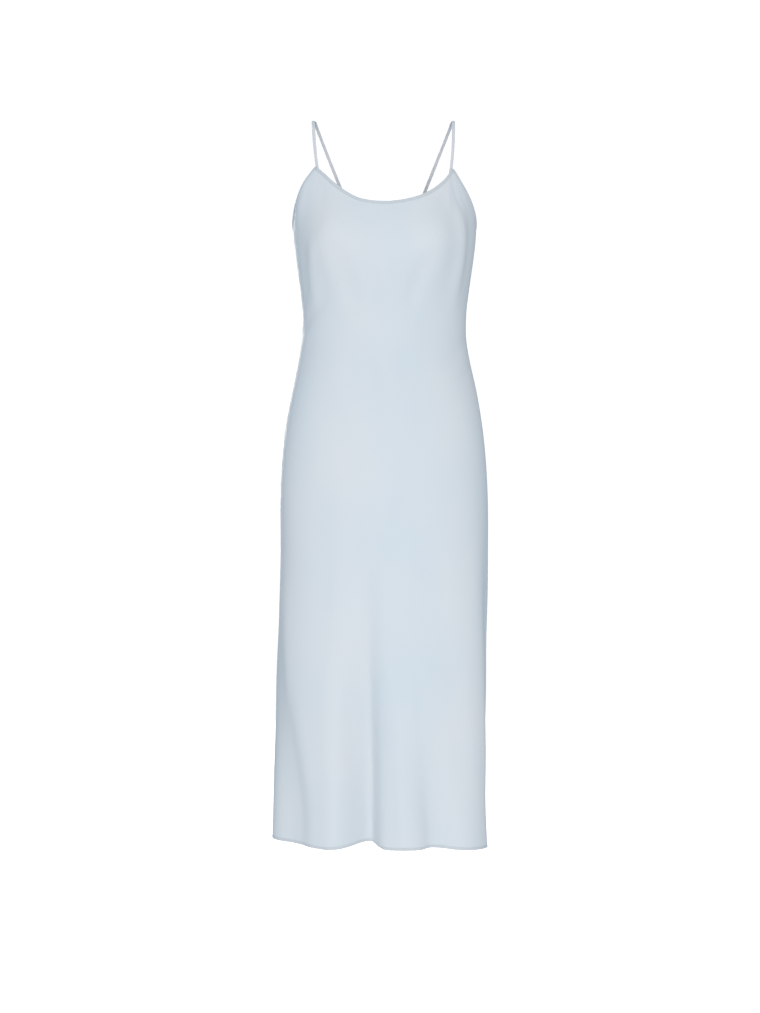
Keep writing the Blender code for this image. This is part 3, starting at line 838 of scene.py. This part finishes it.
def stitches(name, middles, directions, length=STITCH_LENGTH):
    """A row of stitches as one mesh: short capsules at the given places."""
    turns = np.linspace(0, 2 * np.pi, STITCH_SIDES, endpoint=False)
    along = unit(directions)
    side = unit(np.cross(along, (0.0, 0.0, 1.0)))
    over = np.cross(side, along)
    points, faces = [], []
    for middle, a, s, o in zip(middles, along, side, over):
        first = len(points)
        for share, radius in STITCH_RINGS:
            for turn in turns:
                round_ = (s * math.cos(turn) + o * math.sin(turn)) * STITCH_RADIUS * radius
                points.append(middle + a * length * share + round_)
        for ring in range(len(STITCH_RINGS) - 1):
            for i in range(STITCH_SIDES):
                j = (i + 1) % STITCH_SIDES
                low, high = first + ring * STITCH_SIDES, first + (ring + 1) * STITCH_SIDES
                faces.append([low + i, high + i, high + j, low + j])
        faces.append([first + i for i in range(STITCH_SIDES)])
        top = first + (len(STITCH_RINGS) - 1) * STITCH_SIDES
        faces.append([top + i for i in range(STITCH_SIDES - 1, -1, -1)])
    thing = new_object(name, np.array(points), faces)
    make_normals_point_out(thing)
    return thing


def stitch_row(name, line, height):
    """Stitches along a line of angles and heights."""
    count = int(line_length(line) / STITCH_PITCH)
    angle, z = divide(line, 2 * count)
    points = cloth(angle, z, height)
    return stitches(name, points[1::2], points[2::2] - points[:-1:2])


def point_bar(name, sizes):
    """The short row of stitches across a strap point, through the strap behind it."""
    round_, up = slopes(sizes.front_angle, sizes.front_z)
    side = unit(round_)
    down = -unit(up - side * np.dot(up, side))
    middles, directions = [], []
    for i in range(BAR_STITCHES):
        sideways = (i - (BAR_STITCHES - 1) / 2) * STITCH_PITCH * BAR_CROWDING
        place = slide(sizes.front_angle, sizes.front_z, side * sideways + down * BAR_DEPTH)
        middles.append(cloth(*place, BAR_SEAT))
        directions.append(side)
    return stitches(name, np.array(middles), np.array(directions), STITCH_LENGTH * BAR_SHORTNESS)


# ---- Straps ----


def bezier(start, first, second, end):
    """Points of a Bezier curve, without its start."""
    t = np.linspace(0, 1, STRAP_STEPS + 1)[1:, None]
    return start * (1 - t) ** 3 + 3 * first * t * (1 - t) ** 2 + 3 * second * t**2 * (1 - t) + end * t**3


def tail(angle, z, lean):
    """A strap's sewn end, from its tip up to the strap point: its points, the way up it and the way out."""
    round_, up = slopes(angle, z)
    side = unit(round_)
    up = unit(up - side * np.dot(up, side))
    way = unit(up * math.cos(math.radians(lean)) + side * math.sin(math.radians(lean)))
    depth = SEAM_GAP + STRAP_THICK
    points = []
    for length in np.linspace(STRAP_TAIL, 0.0, TAIL_STEPS + 1):
        place = slide(angle, z, -way * length)
        points.append(form(*place) - depth * outward(*place))
    return np.array(points), way, outward(angle, z)


def strap(sizes):
    """One shoulder strap, from behind the front strap point over the shoulder to behind the back one."""
    front, front_way, front_out = tail(sizes.front_angle, sizes.front_z, sizes.front_lean)
    back, back_way, back_out = tail(sizes.back_angle, sizes.back_z, sizes.back_lean)
    shoulder_front = np.array([sizes.shoulder_x, -SHOULDER_FLAT / 2, 0.0])
    shoulder_back = shoulder_front + (sizes.shoulder_shift, SHOULDER_FLAT, 0.0)
    backwards, upwards = np.array([0.0, 1.0, 0.0]), np.array([0.0, 0.0, 1.0])
    rise = bezier(
        front[-1],
        front[-1] + front_way * RISE_HANDLE,
        shoulder_front - backwards * SHOULDER_HANDLE,
        shoulder_front,
    )
    drop = bezier(
        shoulder_back,
        shoulder_back + backwards * SHOULDER_HANDLE,
        back[-1] + back_way * DROP_HANDLE,
        back[-1],
    )
    path = np.concatenate([front, rise, shoulder_back[None], drop, back[-2::-1]])
    flat = slice(TAIL_STEPS + STRAP_STEPS, TAIL_STEPS + STRAP_STEPS + 2)
    travelled = lengths_along(path)
    crest = travelled[flat].mean()
    risen = smoothstep(travelled / crest)[:, None]
    dropped = smoothstep((travelled - crest) / (travelled[-1] - crest))[:, None]
    out = (front_out * (1 - risen) + upwards * risen) * (1 - dropped) + back_out * dropped
    along = unit(np.gradient(path, axis=0))
    out[flat] = upwards
    along[flat] = unit(shoulder_back - shoulder_front)
    across = unit(np.cross(along, out))
    out = np.cross(across, along)
    rows = []
    for sideways, height in STRAP_PROFILE:
        crown = STRAP_CROWN * (1 - sideways**2) if height > 0.5 else 0.0
        up = height * (STRAP_THICK - STRAP_CROWN) + crown
        rows.append(path + across * sideways * STRAP_WIDTH / 2 + out * up)
    return tube(sizes.name + "_cloth", np.array(rows))


# ---- Materials ----


def new_material(name, colour, roughness):
    """A plain material, its node tree and its shader."""
    material = bpy.data.materials.new(name)
    material.use_nodes = True
    tree = material.node_tree
    shader = tree.nodes["Principled BSDF"]
    shader.inputs["Base Color"].default_value = colour
    shader.inputs["Roughness"].default_value = roughness
    return material, tree, shader


def noise(tree, place, scale, detail=2.0, roughness=0.5):
    """The grey of a noise texture at the given coordinates."""
    texture = tree.nodes.new("ShaderNodeTexNoise")
    texture.inputs["Scale"].default_value = scale
    texture.inputs["Detail"].default_value = detail
    texture.inputs["Roughness"].default_value = roughness
    tree.links.new(place, texture.inputs["Vector"])
    return texture.outputs["Fac"]


def moved(tree, place, **inputs):
    """Coordinates through a mapping with the inputs given by name."""
    mapping = tree.nodes.new("ShaderNodeMapping")
    for name, value in inputs.items():
        mapping.inputs[name].default_value = value
    tree.links.new(place, mapping.inputs["Vector"])
    return mapping.outputs["Vector"]


def spread(tree, value, span, result=(0.0, 1.0)):
    """A value taken from one span to another, and held at the ends."""
    stretch = tree.nodes.new("ShaderNodeMapRange")
    stretch.inputs["From Min"].default_value, stretch.inputs["From Max"].default_value = span
    stretch.inputs["To Min"].default_value, stretch.inputs["To Max"].default_value = result
    tree.links.new(value, stretch.inputs["Value"])
    return stretch.outputs["Result"]


def between(tree, share, first, second):
    """A colour between two, by a share."""
    tone = tree.nodes.new("ShaderNodeMix")
    tone.data_type = "RGBA"
    tone.inputs[6].default_value = first
    tone.inputs[7].default_value = second
    tree.links.new(share, tone.inputs[0])
    return tone.outputs[2]


def satin_material(name, cool, warm):
    """Matt satin: long fine threads that run on the bias, and a colour that drifts between two tones in soft
    bands that hang down the dress."""
    material, tree, shader = new_material(name, cool, ROUGHNESS_SPAN[0])
    shader.inputs["IOR"].default_value = SATIN_IOR
    shader.inputs["Diffuse Roughness"].default_value = DIFFUSE_ROUGHNESS
    shader.inputs["Specular IOR Level"].default_value = SPECULAR_LEVEL
    shader.inputs["Sheen Weight"].default_value = SHEEN
    shader.inputs["Sheen Roughness"].default_value = SHEEN_ROUGHNESS

    place = tree.nodes.new("ShaderNodeTexCoord").outputs["Object"]
    hanging = moved(tree, place, Location=DRIFT_SHIFT, Scale=(1.0, 1.0, DRIFT_STRETCH))
    drift = noise(tree, hanging, DRIFT_SCALE, DRIFT_DETAIL, DRIFT_ROUGHNESS)
    tone = between(tree, spread(tree, drift, DRIFT_SPAN), cool, warm)
    tree.links.new(tone, shader.inputs["Base Color"])
    tree.links.new(spread(tree, drift, GLOSS_SPAN, ROUGHNESS_SPAN), shader.inputs["Roughness"])

    cloth_map = tree.nodes.new("ShaderNodeUVMap")
    cloth_map.uv_map = "cloth"
    bias = moved(tree, cloth_map.outputs["UV"], Rotation=(0.0, 0.0, BIAS), Scale=WEAVE_SCALE)
    bump = tree.nodes.new("ShaderNodeBump")
    bump.inputs["Strength"].default_value = WEAVE_BUMP
    bump.inputs["Distance"].default_value = WEAVE_DEPTH
    tree.links.new(noise(tree, bias, 1.0), bump.inputs["Height"])
    tree.links.new(bump.outputs["Normal"], shader.inputs["Normal"])
    return material


def shaded_thread_material():
    """Thread: a plain tone with a fine grain, darkened below its own as painted shade for the stitches'
    shadow line.
    """
    material, tree, shader = new_material("shaded_thread_look", SHADED_THREAD, THREAD_ROUGHNESS)
    place = tree.nodes.new("ShaderNodeTexCoord").outputs["Object"]
    tone = between(tree, noise(tree, place, THREAD_GRAIN), SHADED_THREAD, SHADED_THREAD_PALE)
    tree.links.new(tone, shader.inputs["Base Color"])
    return material


# ---- The dress ----


def finish_piece(thing, material):
    thing.data.materials.append(material)
    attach(thing, "root")
    return thing


def build_dress():
    satin = satin_material("satin_look", SATIN_COOL, SATIN_WARM)
    # bindings and hems in the darker tones: painted shade along the bound edges and the hem's fold
    shaded_trim = satin_material("binding_shaded_look", BINDING_SHADED_COOL, BINDING_SHADED_WARM)
    webbing = satin_material("strap_look", STRAP_COOL, STRAP_WARM)
    # thread darkened as painted shade for the stitches' shadow line
    shaded_thread = shaded_thread_material()

    lines = {name: inset_line(name, EDGE_INSIDE) for name in EDGES}
    right_arm = (lines["armhole_right"][0] - 360.0, lines["armhole_right"][1])
    front = panel(
        "front_cloth", -SIDE_SEAM, SIDE_SEAM,
        [
            (cut_line(right_arm, -SIDE_SEAM, 0.0), SIDE_COLUMNS),
            (lines["neckline"], NECK_COLUMNS),
            (cut_line(lines["armhole_left"], 0.0, SIDE_SEAM), SIDE_COLUMNS),
        ],
    )
    back = panel(
        "back_cloth", SIDE_SEAM, 360.0 - SIDE_SEAM,
        [
            (cut_line(lines["armhole_left"], SIDE_SEAM, 180.0), BACK_SIDE_COLUMNS),
            (lines["back_neckline"], BACK_NECK_COLUMNS),
            (cut_line(lines["armhole_right"], 180.0, 360.0 - SIDE_SEAM), BACK_SIDE_COLUMNS),
        ],
    )
    for thing, node in ((front, "front_panel"), (back, "back_panel")):
        finish_piece(thing, satin)
        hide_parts(node)

    for edge, node in (
        ("neckline", "neckline_binding"),
        ("back_neckline", "back_neckline_binding"),
        ("armhole_left", "armhole_binding_left"),
        ("armhole_right", "armhole_binding_right"),
    ):
        strip = finish_piece(binding(node + "_cloth", edge), shaded_trim)
        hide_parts(node)
        row = stitch_row(edge + "_stitches", inset_line(edge, STITCH_LINE_BINDING), STITCH_SEAT_BINDING)
        finish_piece(row, shaded_thread)

    for side, low, high in (("front", -SIDE_SEAM, SIDE_SEAM), ("back", SIDE_SEAM, 360.0 - SIDE_SEAM)):
        # the hem in the bindings' darker tones: painted shade along its fold
        fold = finish_piece(hem(side + "_hem", low, high), shaded_trim)
        fine = np.linspace(low, high, FINE)
        row = stitch_row(side + "_hem_stitches", (fine, hem_height(fine) + STITCH_LINE_HEM), STITCH_SEAT_HEM)
        finish_piece(row, shaded_thread)

    for name, angle in (("left", SIDE_SEAM), ("right", 360.0 - SIDE_SEAM)):
        top = np.interp(angle, *inset_line("armhole_" + name, BINDING_WIDTH))
        strip = allowance(name + "_side_seam", angle, top)
        finish_piece(strip, satin)

    straps = []
    for sizes in STRAPS:
        piece = finish_piece(strap(sizes), webbing)
        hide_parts(sizes.name)
        bar = finish_piece(point_bar(sizes.name + "_stitches", sizes), shaded_thread)
        straps += [piece, bar]


# ---- Studio ----


def backdrop():
    """A pale round floor that curves up into a wall all round. It casts no light back on the dress, and keeps
    none of the room's from it."""
    paper, _, shader = new_material("pale_paper", PALE, PAPER_ROUGHNESS)
    shader.inputs["Emission Color"].default_value = PAPER_GLOW
    shader.inputs["Emission Strength"].default_value = BACKDROP_GLOW
    bends = np.linspace(0, math.pi / 2, BEND_STEPS + 1)
    radius = np.append(FLOOR_RADIUS + BEND_RADIUS * np.sin(bends), FLOOR_RADIUS + BEND_RADIUS)
    height = np.append(FLOOR_Z + BEND_RADIUS * (1 - np.cos(bends)), WALL_TOP)
    profile = list(zip(radius, height))
    turns = np.linspace(0, 2 * math.pi, STAGE_SIDES + 1)
    points = np.array([[(r * math.cos(t), r * math.sin(t), z) for t in turns] for r, z in profile])
    wall = new_object("wall", points, grid_faces(len(profile), len(turns)))
    floor = new_object("floor", points[0, :-1], [list(range(STAGE_SIDES))])
    for sheet in (floor, wall):
        sheet.data.materials.append(paper)
        sheet.visible_diffuse = False
        sheet.visible_glossy = False
        sheet.visible_shadow = False


def room():
    """Even light from all round, weaker towards the wearer's left."""
    world = bpy.data.worlds.new("room")
    world.use_nodes = True
    tree = world.node_tree
    background = tree.nodes["Background"]
    background.inputs["Color"].default_value = ROOM_COLOUR
    place = tree.nodes.new("ShaderNodeTexCoord")
    parts = tree.nodes.new("ShaderNodeSeparateXYZ")
    tree.links.new(place.outputs["Generated"], parts.inputs["Vector"])
    shaded = spread(tree, parts.outputs["X"], (0.0, 1.0), (ROOM_LIGHT, ROOM_LIGHT * (1 - FLAG_SHADE)))
    tree.links.new(shaded, background.inputs["Strength"])
    return world


def softbox(sizes):
    """A square soft light."""
    lamp = bpy.data.lights.new(sizes.name, "AREA")
    lamp.shape = "SQUARE"
    lamp.size = sizes.size
    lamp.color = sizes.colour
    aim = Vector(sizes.target) - Vector(sizes.place)
    lamp.energy = sizes.white_share * math.pi**2 * aim.length_squared
    thing = bpy.data.objects.new(sizes.name, lamp)
    thing.location = sizes.place
    thing.rotation_euler = aim.to_track_quat("-Z", "Y").to_euler()
    thing.visible_camera = False
    bpy.context.scene.collection.objects.link(thing)


def studio():
    backdrop()
    bpy.context.scene.world = room()
    for sizes in LAMPS:
        softbox(sizes)

    camera = bpy.data.cameras.new("camera")
    camera.sensor_fit = "AUTO"
    camera.sensor_width = SENSOR
    camera.lens = SENSOR * -CAMERA_PLACE[1] / (PICTURE_LONG_SIDE * METRES_A_PIXEL)
    eye = bpy.data.objects.new("camera", camera)
    eye.location = CAMERA_PLACE
    eye.rotation_euler = (math.pi / 2, 0.0, 0.0)
    bpy.context.scene.collection.objects.link(eye)
    bpy.context.scene.camera = eye
    bpy.context.scene.view_settings.view_transform = "Standard"


build_dress()
studio()
